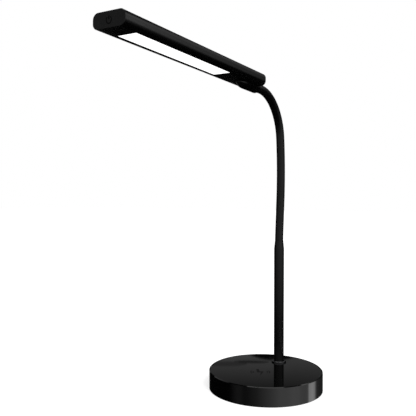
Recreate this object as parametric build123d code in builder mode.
from build123d import *

# Gooseneck desk lamp: a round weighted base with a charging plate, a pole, a bendable neck and
# an LED bar head. Millimetres, +Z up. The origin is the centre of the base's underside. The lamp
# is symmetric about the plane x = 0: the pole stands towards +Y, the head reaches towards -Y.

import os
from math import cos, radians, sin

os.makedirs("parts", exist_ok=True)

# ---- Base ----
BASE_R = 76.2  # a base of 6 in
RIM_Z = 25.0  # top of the housing's rim
SKIRT_Z = 0.3  # lowest edge of the housing, just clear of the table
SIDE_WALL = 2.4
RIM_CHAMFER = 0.8
RIM_W = 1.5  # ring of the housing left around the top disc
TOP_T = 2.0
TOP_LIP = 0.25  # the rim stands this much above the top disc
DECK_T = 1.8
PAD_R = 71.0
PAD_T = 1.0
BOTTOM_T = 1.4
WEIGHT_T = 9.0
WEIGHT_GAP = 1.6  # between the iron weight and the housing wall
BOTTOM_SCREW_PCR = 62.0
BOTTOM_SCREW_R = 1.45
BOTTOM_SCREW_HEAD_R = 2.8
BOSS_R = 3.5

INNER_R = BASE_R - SIDE_WALL
TOP_R = BASE_R - RIM_W
TOP_Z = RIM_Z - TOP_LIP
TOP_UNDER_Z = TOP_Z - TOP_T
DECK_UNDER_Z = TOP_UNDER_Z - DECK_T
BOTTOM_Z = PAD_T + BOTTOM_T  # upper face of the steel bottom plate
WEIGHT_R = INNER_R - WEIGHT_GAP

# ---- Charger under the top disc ----
COIL_Y = -14.0
COIL_R = 21.5
COIL_HOLE_R = 9.0
COIL_T = 1.2
COIL_TURNS = 6
SHIELD_R = 25.0
SHIELD_T = 1.0
DECK_HOLE_R = SHIELD_R + 1.0
BOARD_T = 1.6
CHARGER_W = 62.0
CHARGER_D = 36.0
CHARGER_Z = 14.0  # underside of the charger board
CHARGER_POST_X = 27.0
CHARGER_POST_Y = 14.0
POST_R = 3.0
POST_SCREW_R = 1.2

# ---- Power inlet at the back of the base ----
INLET_Z = 12.7
JACK_W = 9.0
JACK_LEN = 13.6
JACK_NOSE_R = 4.0
JACK_BORE_R = 3.15
JACK_BORE_LEN = 10.0
JACK_PIN_R = 1.0
NOSE_GAP = 0.2
JACK_BOARD_W = 44.0
JACK_BOARD_D = 16.0
JACK_POST_X = 17.0
JACK_BOARD_Y = 62.0
JACK_BOARD_Z = INLET_Z - JACK_W / 2 - BOARD_T
JACK_BACK_Y = INNER_R - 0.4  # where the jack's square body ends and its nose begins

# ---- Pole ----
POLE_Y = 43.3
POLE_R = 7.0
POLE_BORE_R = 5.0
POLE_TOP_Z = 184.0
COLLAR_R = 10.25
COLLAR_H = 2.3  # above the top disc
COLLAR_SEAT = 0.4  # depth of the recess that collar and pole stand in
COLLAR_GAP = 0.1
STUD_BORE_R = 3.5
STUD_TOP_Z = 50.0
STUD_BOTTOM_Z = 13.6
STUD_CLEAR = 0.2
WASHER_R = 11.0
WASHER_T = 1.2
POLE_NUT_AF = 17.0
POLE_NUT_H = 5.0
LEAD_R = 1.6
LEAD_BEND_R = 6.0
LEAD_LOW_Z = 10.2
PLUG_Y = 54.2  # front face of the connector on the inlet board
PLUG_SIZE = (8.0, 4.8, 4.4)

# ---- Neck: its centreline runs from the ferrule to the head, in the plane x = 0 ----
NECK_R = 5.75
CORE_R = 4.4
FERRULE_TOP_Z = 196.0
FERRULE_TOP_R = 5.95
FERRULE_SPIGOT = 16.0
CORE_DEPTH = 18.0  # the neck's core reaches this far into the ferrule
BACK_LEAN = 4.4  # degrees that the neck first leans back
BACK_ARC = 8.0
LEAN_RUN = 47.0
WIDE_BEND_R = 510.0
WIDE_BEND = 10.0
CROOK_R = 65.9  # the crook that brings the neck over to the head
HEAD_PITCH = 1.6  # degrees that the head's free end is raised
CROOK = 90.0 - HEAD_PITCH + BACK_LEAN - WIDE_BEND
END_RUN = 15.2
JOINTS = 12
BALL_GAP = 0.2  # between a link's dome and the cup that it turns in

# ---- Head: a rounded bar; its own frame starts at the rear end of its underside ----
HEAD_W = 37.1
HEAD_T = 15.35
HEAD_CORNER = 6.0
HEAD_LEN = 279.4
SHELL = 1.8
CAP_T = 2.5
PLUG_T = 1.4
PLUG_LEN = 5.0
CAP_EDGE = 0.3
REAR_EDGE = 0.8
NECK_RISE = 1.0  # the neck's axis lies this far above the head's underside
PANEL_W = 26.9
PANEL_LEN = 181.4
PANEL_START = 75.9
PANEL_END_LIP = 2.0
PANEL_RECESS = 1.65  # the lit face lies this deep inside its window
PANEL_T = 2.8  # height of the diffuser's back above the head's underside
TRAY_T = 4.4
TRAY_WALL = 1.2
LED_BOARD_W = 21.0
LED_W = 2.8
LED_LEN = 3.5
LED_H = 0.7
LED_ROWS = 2
LEDS_PER_ROW = 16
LED_ROW_SPACING = 8.0
RIB_X = 6.0
RIB_T = 1.2

# ---- Socket that joins neck and head ----
SOCKET_REAR = -7.0  # its rear face, behind the head's end
SOCKET_R = 7.7
SOCKET_EDGE = 0.6
NOSE_START = 24.0
NOSE_TIP = 40.0
SLEEVE_STOP = 6.0  # the neck's sleeve ends here, its core goes on
THREAD_R = 3.0
CORE_STOP = 16.0
NUT_SEAT = 18.0
FLANGE_W = 22.0
FLANGE_T = 2.0
FLANGE_LEN = 40.0
NECK_NUT_AF = 8.4
NECK_NUT_H = 4.0
NUT_ROOM = 6.0  # the nose is wider inside over this length, for the nut
NUT_ROOM_R = 5.0
NOSE_ROOM = 10.0
NOSE_ROOM_R = 4.2
HEAD_LEAD_R = 1.3
LEAD_RISE_START = 25.0
LEAD_RISE_END = 35.0

# The neck's centreline as runs of (length, degrees of forward turn), straight runs and arcs.
neck_runs = [
    (BACK_ARC, -BACK_LEAN),
    (LEAN_RUN, 0.0),
    (WIDE_BEND_R * radians(WIDE_BEND), WIDE_BEND),
    (CROOK_R * radians(CROOK), CROOK),
    (END_RUN, 0.0),
]
NECK_LEN = sum(length for length, turn in neck_runs)
PITCH = NECK_LEN / JOINTS
DOME_ALIGN = (Align.CENTER, Align.CENTER, Align.MIN)  # a half sphere stands on its flat face


def neck_at(s):
    """Point on the neck's centreline at length s above the ferrule, and its forward lean there."""
    y = POLE_Y
    z = FERRULE_TOP_Z
    lean = 0.0
    for length, turn in neck_runs:
        step = min(s, length)
        bend = radians(turn) * step / length
        chord = step * sin(bend / 2) / (bend / 2) if bend else step
        y -= chord * sin(lean + bend / 2)
        z += chord * cos(lean + bend / 2)
        lean += bend
        s -= step
    return Vector(0, y - s * sin(lean), z + s * cos(lean)), lean


def neck_plane(s):
    """Plane square to the neck's centreline at length s, its normal pointing to the head."""
    point, lean = neck_at(s)
    return Plane(origin=point, x_dir=(1, 0, 0), z_dir=(0, -sin(lean), cos(lean)))


def neck_path(start, end):
    """Lines and tangent arcs of the centreline from start to end, for the active BuildLine."""
    knots = [start]
    reached = 0.0
    for length, turn in neck_runs:
        reached += length
        if start < reached < end:
            knots.append(reached)
    knots.append(end)
    for low, high in zip(knots, knots[1:]):
        first = neck_at(low)
        last = neck_at(high)
        if abs(first[1] - last[1]) < 1e-9:
            Line(first[0], last[0])
        else:
            ThreePointArc(first[0], neck_at((low + high) / 2)[0], last[0])


# The head's frame: X across, Y up from the underside, Z forward from the rear end.
neck_end, end_lean = neck_at(NECK_LEN)
head_dir = Vector(0, -sin(end_lean), cos(end_lean))
head_up = Vector(0, cos(end_lean), sin(end_lean))
HEAD = Plane(
    origin=neck_end - head_dir * SOCKET_REAR - head_up * NECK_RISE,
    x_dir=(1, 0, 0),
    z_dir=head_dir,
)
# Side view of the socket: x forward along the neck's axis, y up, from the head's rear end.
SOCKET_SIDE = Plane(
    origin=neck_end - head_dir * SOCKET_REAR,
    x_dir=head_dir,
    z_dir=(-1, 0, 0),
)
SOCKET_AXIS = Axis(SOCKET_SIDE.origin, head_dir)
DECK_POSTS = [(x, COIL_Y + y) for x in (-CHARGER_POST_X, CHARGER_POST_X)
              for y in (-CHARGER_POST_Y, CHARGER_POST_Y)]
JACK_POSTS = [(x, JACK_BOARD_Y) for x in (-JACK_POST_X, JACK_POST_X)]

# ======== Base ========

with BuildPart() as foot_pad:
    Cylinder(PAD_R, PAD_T, align=(Align.CENTER, Align.CENTER, Align.MIN))
    fillet(foot_pad.edges().sort_by(Axis.Z)[-1], 0.3)
foot_pad.part.label = "foot_pad"
export_step(foot_pad.part, "parts/foot_pad.step")

with BuildPart() as base_bottom:
    with BuildSketch(Plane.XY.offset(PAD_T)):
        Circle(INNER_R - 0.2)
    extrude(amount=BOTTOM_T)
    with Locations(Plane.XY.offset(PAD_T)):
        with PolarLocations(BOTTOM_SCREW_PCR, 4, start_angle=45):
            with Locations(Rotation(180, 0, 0)):
                CounterSinkHole(BOTTOM_SCREW_R, BOTTOM_SCREW_HEAD_R, BOTTOM_T)
base_bottom.part.label = "base_bottom"
export_step(base_bottom.part, "parts/base_bottom.step")

with BuildPart() as base_housing:
    with BuildSketch(Plane.XZ):
        with BuildLine():
            Polyline(
                (INNER_R, SKIRT_Z),
                (BASE_R, SKIRT_Z),
                (BASE_R, RIM_Z - RIM_CHAMFER),
                (BASE_R - RIM_CHAMFER, RIM_Z),
                (TOP_R, RIM_Z),
                (TOP_R, TOP_UNDER_Z),
                (0, TOP_UNDER_Z),
                (0, DECK_UNDER_Z),
                (INNER_R, DECK_UNDER_Z),
                close=True,
            )
        make_face()
    revolve(axis=Axis.Z)
    with BuildSketch(Plane.XY.offset(DECK_UNDER_Z)):
        with PolarLocations(BOTTOM_SCREW_PCR, 4, start_angle=45):
            Circle(BOSS_R)
    extrude(amount=BOTTOM_Z - DECK_UNDER_Z)
    with BuildSketch(Plane.XY.offset(DECK_UNDER_Z)):
        with Locations(*DECK_POSTS):
            Circle(POST_R)
    extrude(amount=CHARGER_Z + BOARD_T - DECK_UNDER_Z)
    with BuildSketch(Plane.XY.offset(DECK_UNDER_Z)):
        with Locations(*JACK_POSTS):
            Circle(POST_R)
    extrude(amount=JACK_BOARD_Z + BOARD_T - DECK_UNDER_Z)
    with BuildSketch(Plane.XY.offset(DECK_UNDER_Z)):
        with Locations((0, COIL_Y)):
            Circle(DECK_HOLE_R)
        with Locations((0, POLE_Y)):
            Circle(POLE_BORE_R + STUD_CLEAR)
    extrude(amount=DECK_T, mode=Mode.SUBTRACT)
    with BuildSketch(Plane.XY.offset(BOTTOM_Z)):
        with PolarLocations(BOTTOM_SCREW_PCR, 4, start_angle=45):
            Circle(BOTTOM_SCREW_R)
    extrude(amount=8.0, mode=Mode.SUBTRACT)
    for posts, foot_z in ((DECK_POSTS, CHARGER_Z + BOARD_T), (JACK_POSTS, JACK_BOARD_Z + BOARD_T)):
        with BuildSketch(Plane.XY.offset(foot_z)):
            with Locations(*posts):
                Circle(POST_SCREW_R)
        extrude(amount=5.0, mode=Mode.SUBTRACT)
    with BuildSketch(Plane.XZ.offset(-BASE_R - 1)):
        with Locations((0, INLET_Z)):
            Circle(JACK_NOSE_R + NOSE_GAP)
    extrude(amount=SIDE_WALL + 2, mode=Mode.SUBTRACT)
base_housing.part.label = "base_housing"
export_step(base_housing.part, "parts/base_housing.step")

with BuildPart() as charging_top:
    with BuildSketch(Plane.XY.offset(TOP_UNDER_Z)):
        Circle(TOP_R)
        with Locations((0, POLE_Y)):
            Circle(POLE_BORE_R + STUD_CLEAR, mode=Mode.SUBTRACT)
    extrude(amount=TOP_T)
    top_rim = charging_top.edges().filter_by(GeomType.CIRCLE).group_by(Axis.Z)[-1]
    fillet(top_rim.sort_by(SortBy.RADIUS)[-1], 0.4)
    with BuildSketch(Plane.XY.offset(TOP_Z)):
        with Locations((0, POLE_Y)):
            Circle(COLLAR_R + COLLAR_GAP)
    extrude(amount=-COLLAR_SEAT, mode=Mode.SUBTRACT)
charging_top.part.label = "charging_top"
export_step(charging_top.part, "parts/charging_top.step")

with BuildPart() as charging_coil:
    turn_w = (COIL_R - COIL_HOLE_R) / COIL_TURNS
    with BuildSketch(Plane.XZ.offset(-COIL_Y)):
        with BuildLine():
            Line((COIL_R, TOP_UNDER_Z), (COIL_HOLE_R, TOP_UNDER_Z))
            Line((COIL_HOLE_R, TOP_UNDER_Z), (COIL_HOLE_R, TOP_UNDER_Z - COIL_T))
            for turn in range(COIL_TURNS):
                left = COIL_HOLE_R + turn * turn_w
                notch = (left + turn_w, TOP_UNDER_Z - COIL_T)
                Line((left, TOP_UNDER_Z - COIL_T), (left + 0.8 * turn_w, TOP_UNDER_Z - COIL_T))
                if turn < COIL_TURNS - 1:
                    groove = (left + 0.9 * turn_w, TOP_UNDER_Z - 0.7 * COIL_T)
                    Polyline((left + 0.8 * turn_w, TOP_UNDER_Z - COIL_T), groove, notch)
                else:
                    Line((left + 0.8 * turn_w, TOP_UNDER_Z - COIL_T), notch)
            Line((COIL_R, TOP_UNDER_Z - COIL_T), (COIL_R, TOP_UNDER_Z))
        make_face()
    revolve(axis=Axis((0, COIL_Y, 0), (0, 0, 1)))
charging_coil.part.label = "charging_coil"
export_step(charging_coil.part, "parts/charging_coil.step")

with BuildPart() as ferrite_shield:
    with BuildSketch(Plane.XY.offset(TOP_UNDER_Z - COIL_T)):
        with Locations((0, COIL_Y)):
            Circle(SHIELD_R)
    extrude(amount=-SHIELD_T)
ferrite_shield.part.label = "ferrite_shield"
export_step(ferrite_shield.part, "parts/ferrite_shield.step")

with BuildPart() as charger_board:
    with BuildSketch(Plane.XY.offset(CHARGER_Z)):
        with Locations((0, COIL_Y)):
            RectangleRounded(CHARGER_W, CHARGER_D, 2)
        with Locations(*DECK_POSTS):
            Circle(POST_SCREW_R, mode=Mode.SUBTRACT)
    extrude(amount=BOARD_T)
charger_board.part.label = "charger_board"
export_step(charger_board.part, "parts/charger_board.step")

# Two power chips, a controller and two round capacitors stand on the charger board.
with BuildPart() as charger_parts:
    with BuildSketch(Plane.XY.offset(CHARGER_Z + BOARD_T)):
        with Locations((-10, COIL_Y - 6), (10, COIL_Y - 6)):
            Rectangle(6, 5)
        with Locations((0, COIL_Y + 6)):
            Rectangle(7, 7)
    extrude(amount=1.0)
    with BuildSketch(Plane.XY.offset(CHARGER_Z + BOARD_T)):
        with Locations((-14, COIL_Y + 8), (14, COIL_Y + 8)):
            Circle(3.1)
    extrude(amount=3.6)
charger_parts.part.label = "charger_parts"
export_step(charger_parts.part, "parts/charger_parts.step")

with BuildPart() as weight_plate:
    with BuildSketch(Plane.XY.offset(BOTTOM_Z)):
        Circle(WEIGHT_R)
        with PolarLocations(BOTTOM_SCREW_PCR, 4, start_angle=45):
            Circle(BOSS_R + 0.5, mode=Mode.SUBTRACT)
        with Locations((0, JACK_BOARD_Y)):
            Rectangle(JACK_BOARD_W + 4, 56, mode=Mode.SUBTRACT)
    extrude(amount=WEIGHT_T)
    chamfer(weight_plate.faces().sort_by(Axis.Z)[-1].edges().filter_by(GeomType.CIRCLE).sort_by(
        SortBy.RADIUS)[-1], 1.0)
weight_plate.part.label = "weight_plate"
export_step(weight_plate.part, "parts/weight_plate.step")

with BuildPart() as jack_board:
    with BuildSketch(Plane.XY.offset(JACK_BOARD_Z)):
        with Locations((0, JACK_BOARD_Y)):
            RectangleRounded(JACK_BOARD_W, JACK_BOARD_D, 1.5)
        with Locations(*JACK_POSTS):
            Circle(POST_SCREW_R, mode=Mode.SUBTRACT)
    extrude(amount=BOARD_T)
jack_board.part.label = "jack_board"
export_step(jack_board.part, "parts/jack_board.step")

with BuildPart() as lead_plug:
    with Locations((0, PLUG_Y, JACK_BOARD_Z + BOARD_T)):
        Box(*PLUG_SIZE, align=(Align.CENTER, Align.MIN, Align.MIN))
    chamfer(lead_plug.edges().filter_by(Axis.X).group_by(Axis.Z)[-1], 0.8)
lead_plug.part.label = "lead_plug"
export_step(lead_plug.part, "parts/lead_plug.step")

with BuildPart() as dc_jack:
    with BuildSketch(Plane.XZ.offset(-JACK_BACK_Y)):
        with Locations((0, INLET_Z)):
            Rectangle(JACK_W, JACK_W)
    extrude(amount=JACK_LEN)
    with BuildSketch(Plane.XZ.offset(-JACK_BACK_Y)):
        with Locations((0, INLET_Z)):
            Circle(JACK_NOSE_R)
    extrude(amount=JACK_BACK_Y - BASE_R + 0.3)
    with BuildSketch(Plane.XZ.offset(-BASE_R)):
        with Locations((0, INLET_Z)):
            Circle(JACK_BORE_R)
    extrude(amount=JACK_BORE_LEN, mode=Mode.SUBTRACT)
dc_jack.part.label = "dc_jack"
export_step(dc_jack.part, "parts/dc_jack.step")

with BuildPart() as jack_pin:
    with BuildSketch(Plane.XZ.offset(-BASE_R + JACK_BORE_LEN)):
        with Locations((0, INLET_Z)):
            Circle(JACK_PIN_R)
    extrude(amount=1.0 - JACK_BORE_LEN)
    chamfer(jack_pin.edges().sort_by(Axis.Y)[-1], 0.3)
jack_pin.part.label = "jack_pin"
export_step(jack_pin.part, "parts/jack_pin.step")

# Countersunk screws through the bottom plate into the housing's bosses.
with BuildPart() as bottom_screws:
    with PolarLocations(BOTTOM_SCREW_PCR, 4, start_angle=45):
        with Locations((0, 0, PAD_T)):
            Cone(
                BOTTOM_SCREW_HEAD_R,
                BOTTOM_SCREW_R,
                BOTTOM_SCREW_HEAD_R - BOTTOM_SCREW_R,
                align=(Align.CENTER, Align.CENTER, Align.MIN),
            )
            Cylinder(
                BOTTOM_SCREW_R, 9.0, align=(Align.CENTER, Align.CENTER, Align.MIN)
            )
bottom_screws.part.label = "bottom_screws"
export_step(bottom_screws.part, "parts/bottom_screws.step")

# Pan head screws that hold the two boards to their posts.
with BuildPart() as board_screws:
    for posts, under_z in ((DECK_POSTS, CHARGER_Z), (JACK_POSTS, JACK_BOARD_Z)):
        with BuildSketch(Plane.XY.offset(under_z - 1.4)):
            with Locations(*posts):
                Circle(2.2)
        extrude(amount=1.4)
        with BuildSketch(Plane.XY.offset(under_z)):
            with Locations(*posts):
                Circle(POST_SCREW_R)
        extrude(amount=BOARD_T + 4.6)
board_screws.part.label = "board_screws"
export_step(board_screws.part, "parts/board_screws.step")

# ======== Pole ========

with BuildPart() as pole_stud:
    with BuildSketch(Plane.XY.offset(STUD_BOTTOM_Z)):
        with Locations((0, POLE_Y)):
            Circle(POLE_BORE_R)
            Circle(STUD_BORE_R, mode=Mode.SUBTRACT)
    extrude(amount=STUD_TOP_Z - STUD_BOTTOM_Z)
    stud_rims = pole_stud.edges().filter_by(GeomType.CIRCLE).group_by(SortBy.RADIUS)[-1]
    chamfer(stud_rims, 0.6)
pole_stud.part.label = "pole_stud"
export_step(pole_stud.part, "parts/pole_stud.step")

with BuildPart() as pole_washer:
    with BuildSketch(Plane.XY.offset(DECK_UNDER_Z)):
        with Locations((0, POLE_Y)):
            Circle(WASHER_R)
            Circle(POLE_BORE_R + STUD_CLEAR, mode=Mode.SUBTRACT)
    extrude(amount=-WASHER_T)
pole_washer.part.label = "pole_washer"
export_step(pole_washer.part, "parts/pole_washer.step")

with BuildPart() as pole_nut:
    with BuildSketch(Plane.XY.offset(DECK_UNDER_Z - WASHER_T)):
        with Locations((0, POLE_Y)):
            RegularPolygon(POLE_NUT_AF / 2, 6, major_radius=False)
            Circle(POLE_BORE_R, mode=Mode.SUBTRACT)
    extrude(amount=-POLE_NUT_H)
pole_nut.part.label = "pole_nut"
export_step(pole_nut.part, "parts/pole_nut.step")

with BuildPart() as pole_collar:
    with BuildSketch(Plane.XY.offset(TOP_Z - COLLAR_SEAT)):
        with Locations((0, POLE_Y)):
            Circle(COLLAR_R)
            Circle(POLE_R, mode=Mode.SUBTRACT)
    extrude(amount=COLLAR_SEAT + COLLAR_H)
    collar_top = pole_collar.edges().filter_by(GeomType.CIRCLE).group_by(Axis.Z)[-1]
    fillet(collar_top.sort_by(SortBy.RADIUS)[-1], 0.9)
pole_collar.part.label = "pole_collar"
export_step(pole_collar.part, "parts/pole_collar.step")

with BuildPart() as pole_tube:
    with BuildSketch(Plane.XY.offset(TOP_Z - COLLAR_SEAT)):
        with Locations((0, POLE_Y)):
            Circle(POLE_R)
            Circle(POLE_BORE_R, mode=Mode.SUBTRACT)
    extrude(amount=POLE_TOP_Z - TOP_Z + COLLAR_SEAT)
pole_tube.part.label = "pole_tube"
export_step(pole_tube.part, "parts/pole_tube.step")

with BuildPart() as neck_ferrule:
    with BuildSketch(Plane.YZ):
        with BuildLine():
            Polyline(
                (POLE_Y + CORE_R, FERRULE_TOP_Z),
                (POLE_Y + FERRULE_TOP_R, FERRULE_TOP_Z),
                (POLE_Y + FERRULE_TOP_R, FERRULE_TOP_Z - 0.8),
                (POLE_Y + POLE_R, POLE_TOP_Z + 0.8),
                (POLE_Y + POLE_R, POLE_TOP_Z),
                (POLE_Y + POLE_BORE_R, POLE_TOP_Z),
                (POLE_Y + POLE_BORE_R, POLE_TOP_Z - FERRULE_SPIGOT),
                (POLE_Y + LEAD_R + 0.9, POLE_TOP_Z - FERRULE_SPIGOT),
                (POLE_Y + LEAD_R + 0.9, FERRULE_TOP_Z - CORE_DEPTH),
                (POLE_Y + CORE_R, FERRULE_TOP_Z - CORE_DEPTH),
                close=True,
            )
        make_face()
    revolve(axis=Axis((0, POLE_Y, 0), (0, 0, 1)))
neck_ferrule.part.label = "neck_ferrule"
export_step(neck_ferrule.part, "parts/neck_ferrule.step")

# The lead from the inlet board climbs inside the stud and the pole to the neck's core.
with BuildPart() as pole_lead:
    with BuildLine() as lead_path:
        FilletPolyline(
            (0, POLE_Y, FERRULE_TOP_Z - CORE_DEPTH),
            (0, POLE_Y, LEAD_LOW_Z),
            (0, PLUG_Y, LEAD_LOW_Z),
            radius=LEAD_BEND_R,
        )
    with BuildSketch(Plane.XY.offset(FERRULE_TOP_Z - CORE_DEPTH)):
        with Locations((0, POLE_Y)):
            Circle(LEAD_R)
    sweep(path=lead_path.wire())
pole_lead.part.label = "pole_lead"
export_step(pole_lead.part, "parts/pole_lead.step")

# ======== Neck ========

with BuildPart() as neck_root:
    with BuildSketch(neck_plane(0)):
        Circle(CORE_R)
    extrude(amount=-CORE_DEPTH)
    with BuildLine():
        neck_path(0, PITCH / 2)
    with BuildSketch(neck_plane(0)):
        Circle(NECK_R)
    sweep()
    with Locations(neck_plane(PITCH / 2)):
        Sphere(NECK_R, arc_size1=0, align=DOME_ALIGN)
neck_root.part.label = "neck_root"
export_step(neck_root.part, "parts/neck_root.step")

for number in range(1, JOINTS):
    lower = (number - 0.5) * PITCH
    upper = lower + PITCH
    with BuildPart() as neck_link:
        with BuildLine():
            neck_path(lower, upper)
        with BuildSketch(neck_plane(lower)):
            Circle(NECK_R)
        sweep()
        with Locations(neck_plane(upper)):
            Sphere(NECK_R, arc_size1=0, align=DOME_ALIGN)
        with Locations(neck_plane(lower)):
            Sphere(NECK_R + BALL_GAP, mode=Mode.SUBTRACT)
    neck_link.part.label = f"neck_link_{number:02d}"
    export_step(neck_link.part, f"parts/neck_link_{number:02d}.step")

# The last stretch is fixed in the head's socket; its core ends in a thread for the nut.
with BuildPart() as neck_tip:
    with BuildSketch(HEAD.offset(SLEEVE_STOP)):
        with Locations((0, NECK_RISE)):
            Circle(NECK_R)
    extrude(amount=SOCKET_REAR - SLEEVE_STOP - PITCH / 2)
    with BuildSketch(HEAD.offset(SLEEVE_STOP)):
        with Locations((0, NECK_RISE)):
            Circle(CORE_R)
    extrude(amount=CORE_STOP - SLEEVE_STOP)
    with BuildSketch(HEAD.offset(CORE_STOP)):
        with Locations((0, NECK_RISE)):
            Circle(THREAD_R)
    extrude(amount=NUT_SEAT + NECK_NUT_H + 1.0 - CORE_STOP)
    with Locations(neck_plane(NECK_LEN - PITCH / 2)):
        Sphere(NECK_R + BALL_GAP, mode=Mode.SUBTRACT)
neck_tip.part.label = "neck_tip"
export_step(neck_tip.part, "parts/neck_tip.step")

# ======== Head ========

# The socket's outer form, a bullet on the neck's axis; the housing and rear cap are cut to it.
with BuildPart() as bullet:
    with BuildSketch(SOCKET_SIDE):
        with BuildLine():
            side = Polyline(
                (SOCKET_REAR, 0),
                (SOCKET_REAR, SOCKET_R - SOCKET_EDGE),
                (SOCKET_REAR + SOCKET_EDGE, SOCKET_R),
                (NOSE_START, SOCKET_R),
            )
            nose = EllipticalCenterArc(
                (NOSE_START, 0), NOSE_TIP - NOSE_START, SOCKET_R, start_angle=0, arc_size=90
            )
            Line(nose @ 0, side @ 0)
        make_face()
    revolve(axis=SOCKET_AXIS)

with BuildPart() as neck_socket:
    add(bullet.part)
    # Only what hangs below the head's floor is kept of the nose; a flange rests on that floor.
    with BuildSketch(HEAD.offset(NUT_SEAT)):
        with Locations((0, SHELL + HEAD_T / 2)):
            Rectangle(HEAD_W, HEAD_T)
    extrude(amount=NOSE_TIP, mode=Mode.SUBTRACT)
    with BuildSketch(HEAD.offset(CAP_T + 1.0)):
        with Locations((0, SHELL + FLANGE_T / 2)):
            Rectangle(FLANGE_W, FLANGE_T)
    extrude(amount=FLANGE_LEN)
    with BuildSketch(HEAD.offset(SOCKET_REAR)):
        with Locations((0, NECK_RISE)):
            Circle(NECK_R)
    extrude(amount=SLEEVE_STOP - SOCKET_REAR, mode=Mode.SUBTRACT)
    with BuildSketch(HEAD.offset(SLEEVE_STOP)):
        with Locations((0, NECK_RISE)):
            Circle(CORE_R)
    extrude(amount=CORE_STOP - SLEEVE_STOP, mode=Mode.SUBTRACT)
    with BuildSketch(HEAD.offset(CORE_STOP)):
        with Locations((0, NECK_RISE)):
            Circle(THREAD_R)
    extrude(amount=NUT_SEAT - CORE_STOP, mode=Mode.SUBTRACT)
    # Hollow nose: room for the nut and the lead, open towards the inside of the head.
    for start, length in ((NUT_SEAT, NUT_ROOM), (NUT_SEAT + NUT_ROOM, NOSE_ROOM)):
        with BuildSketch(HEAD.offset(start)):
            with Locations((0, NECK_RISE)):
                Circle(NUT_ROOM_R if start == NUT_SEAT else NOSE_ROOM_R)
                Rectangle(
                    2 * NOSE_ROOM_R, HEAD_T / 2, align=(Align.CENTER, Align.MIN)
                )
        extrude(amount=length, mode=Mode.SUBTRACT)
neck_socket.part.label = "neck_socket"
export_step(neck_socket.part, "parts/neck_socket.step")

with BuildPart() as neck_nut:
    with BuildSketch(HEAD.offset(NUT_SEAT)):
        with Locations((0, NECK_RISE)):
            RegularPolygon(NECK_NUT_AF / 2, 6, major_radius=False)
            Circle(THREAD_R, mode=Mode.SUBTRACT)
    extrude(amount=NECK_NUT_H)
neck_nut.part.label = "neck_nut"
export_step(neck_nut.part, "parts/neck_nut.step")

with BuildPart() as head_housing:
    with BuildSketch(HEAD.offset(CAP_T)):
        with Locations((0, HEAD_T / 2)):
            RectangleRounded(HEAD_W, HEAD_T, HEAD_CORNER)
            RectangleRounded(
                HEAD_W - 2 * SHELL, HEAD_T - 2 * SHELL, HEAD_CORNER - SHELL, mode=Mode.SUBTRACT
            )
    extrude(amount=HEAD_LEN - 2 * CAP_T)
    # Ribs under the roof hold the light board down on its tray.
    with BuildSketch(HEAD.offset(PANEL_START)):
        with Locations((-RIB_X, HEAD_T - SHELL), (RIB_X, HEAD_T - SHELL)):
            Rectangle(
                RIB_T,
                HEAD_T - SHELL - PANEL_T - TRAY_T - BOARD_T,
                align=(Align.CENTER, Align.MAX),
            )
    extrude(amount=PANEL_LEN)
    # The window for the light panel and the notch that the socket fills, both in the floor.
    with BuildSketch(HEAD.offset(PANEL_START)):
        Rectangle(PANEL_W, 2 * SHELL + 0.2)
    extrude(amount=PANEL_LEN, mode=Mode.SUBTRACT)
    add(bullet.part, mode=Mode.SUBTRACT)
head_housing.part.label = "head_housing"
export_step(head_housing.part, "parts/head_housing.step")

with BuildPart() as front_cap:
    with BuildSketch(HEAD.offset(HEAD_LEN - CAP_T)):
        with Locations((0, HEAD_T / 2)):
            RectangleRounded(HEAD_W, HEAD_T, HEAD_CORNER)
    extrude(amount=CAP_T)
    cap_outline = front_cap.faces().sort_by(Axis.Y)[0].edges()
    chamfer(cap_outline, CAP_EDGE)
    with BuildSketch(HEAD.offset(HEAD_LEN - CAP_T)):
        with Locations((0, HEAD_T / 2)):
            RectangleRounded(
                HEAD_W - 2 * SHELL, HEAD_T - 2 * SHELL, HEAD_CORNER - SHELL
            )
            RectangleRounded(
                HEAD_W - 2 * SHELL - 2 * PLUG_T,
                HEAD_T - 2 * SHELL - 2 * PLUG_T,
                HEAD_CORNER - SHELL - PLUG_T,
                mode=Mode.SUBTRACT,
            )
    extrude(amount=-PLUG_LEN)
front_cap.part.label = "front_cap"
export_step(front_cap.part, "parts/front_cap.step")

with BuildPart() as rear_cap:
    with BuildSketch(HEAD):
        with Locations((0, HEAD_T / 2)):
            RectangleRounded(HEAD_W, HEAD_T, HEAD_CORNER)
    extrude(amount=CAP_T)
    rear_outline = rear_cap.faces().sort_by(Axis.Y)[-1].edges()
    fillet(rear_outline, REAR_EDGE)
    with BuildSketch(HEAD.offset(CAP_T)):
        with Locations((0, HEAD_T - SHELL)):
            Rectangle(16.0, PLUG_T, align=(Align.CENTER, Align.MAX))
    extrude(amount=PLUG_LEN)
    add(bullet.part, mode=Mode.SUBTRACT)
rear_cap.part.label = "rear_cap"
export_step(rear_cap.part, "parts/rear_cap.step")

# The diffuser fills its window and rests on the floor behind it with a lip at either end.
with BuildPart() as diffuser:
    with BuildSketch(HEAD.offset(PANEL_START)):
        with Locations((0, PANEL_RECESS)):
            Rectangle(PANEL_W, PANEL_T - PANEL_RECESS, align=(Align.CENTER, Align.MIN))
    extrude(amount=PANEL_LEN)
    with BuildSketch(HEAD.offset(PANEL_START - PANEL_END_LIP)):
        with Locations((0, SHELL)):
            Rectangle(
                HEAD_W - 2 * HEAD_CORNER, PANEL_T - SHELL, align=(Align.CENTER, Align.MIN)
            )
    extrude(amount=PANEL_LEN + 2 * PANEL_END_LIP)
diffuser.part.label = "diffuser"
export_step(diffuser.part, "parts/diffuser.step")

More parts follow.
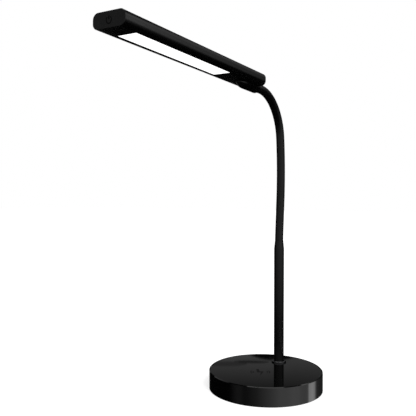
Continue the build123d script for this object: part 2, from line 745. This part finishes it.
# White tray between diffuser and light board: its walls lean out towards the diffuser.
with BuildPart() as reflector_tray:
    with BuildSketch(HEAD.offset(PANEL_START)):
        with BuildLine():
            Polyline(
                (-PANEL_W / 2, PANEL_T),
                (-LED_BOARD_W / 2, PANEL_T + TRAY_T),
                (LED_BOARD_W / 2, PANEL_T + TRAY_T),
                (PANEL_W / 2, PANEL_T),
                close=True,
            )
        make_face()
    extrude(amount=PANEL_LEN)
    with BuildSketch(HEAD.offset(PANEL_START + TRAY_WALL)):
        with BuildLine():
            Polyline(
                (-PANEL_W / 2 + TRAY_WALL, PANEL_T),
                (-LED_BOARD_W / 2 + TRAY_WALL, PANEL_T + TRAY_T),
                (LED_BOARD_W / 2 - TRAY_WALL, PANEL_T + TRAY_T),
                (PANEL_W / 2 - TRAY_WALL, PANEL_T),
                close=True,
            )
        make_face()
    extrude(amount=PANEL_LEN - 2 * TRAY_WALL, mode=Mode.SUBTRACT)
reflector_tray.part.label = "reflector_tray"
export_step(reflector_tray.part, "parts/reflector_tray.step")

with BuildPart() as led_board:
    with BuildSketch(HEAD.offset(PANEL_START)):
        with Locations((0, PANEL_T + TRAY_T)):
            Rectangle(LED_BOARD_W, BOARD_T, align=(Align.CENTER, Align.MIN))
    extrude(amount=PANEL_LEN)
led_board.part.label = "led_board"
export_step(led_board.part, "parts/led_board.step")

# Two rows of emitters on the board's underside, warm and cool side by side.
LED_PLANE = Plane(
    origin=HEAD.from_local_coords((0, PANEL_T + TRAY_T, PANEL_START + PANEL_LEN / 2)),
    x_dir=(1, 0, 0),
    z_dir=-head_up,
)
with BuildPart() as led_chips:
    with BuildSketch(LED_PLANE):
        with GridLocations(LED_ROW_SPACING, PANEL_LEN / LEDS_PER_ROW, LED_ROWS, LEDS_PER_ROW):
            Rectangle(LED_W, LED_LEN)
    extrude(amount=LED_H)
led_chips.part.label = "led_chips"
export_step(led_chips.part, "parts/led_chips.step")

# The touch board sits on the end of the front cap's plug; a soft pad carries touch to it.
TOUCH_Z = HEAD_LEN - CAP_T - PLUG_LEN - 1.2
with BuildPart() as touch_board:
    with BuildSketch(HEAD.offset(TOUCH_Z)):
        with Locations((0, HEAD_T / 2)):
            RectangleRounded(HEAD_W - 2 * SHELL - 1.0, HEAD_T - 2 * SHELL - 1.0, 3.0)
    extrude(amount=1.2)
touch_board.part.label = "touch_board"
export_step(touch_board.part, "parts/touch_board.step")

with BuildPart() as touch_pad:
    with BuildSketch(HEAD.offset(TOUCH_Z + 1.2)):
        with Locations((0, HEAD_T / 2)):
            Circle(3.2)
    extrude(amount=PLUG_LEN)
touch_pad.part.label = "touch_pad"
export_step(touch_pad.part, "parts/touch_pad.step")

# Leads inside the head: neck to light board, and light board to touch board.
lead_top = PANEL_T + TRAY_T + BOARD_T / 2
with BuildPart() as head_lead:
    with BuildLine() as head_lead_path:
        FilletPolyline(
            HEAD.from_local_coords((0, NECK_RISE, NUT_SEAT + NECK_NUT_H + 1.0)),
            HEAD.from_local_coords((0, NECK_RISE, LEAD_RISE_START)),
            HEAD.from_local_coords((0, lead_top, LEAD_RISE_END)),
            HEAD.from_local_coords((0, lead_top, PANEL_START)),
            radius=LEAD_BEND_R,
        )
    with BuildSketch(HEAD.offset(NUT_SEAT + NECK_NUT_H + 1.0)):
        with Locations((0, NECK_RISE)):
            Circle(HEAD_LEAD_R)
    sweep(path=head_lead_path.wire())
head_lead.part.label = "head_lead"
export_step(head_lead.part, "parts/head_lead.step")

with BuildPart() as touch_lead:
    with BuildSketch(HEAD.offset(PANEL_START + PANEL_LEN)):
        with Locations((0, lead_top)):
            Circle(0.8)
    extrude(until=Until.NEXT, target=touch_board.part)
touch_lead.part.label = "touch_lead"
export_step(touch_lead.part, "parts/touch_lead.step")
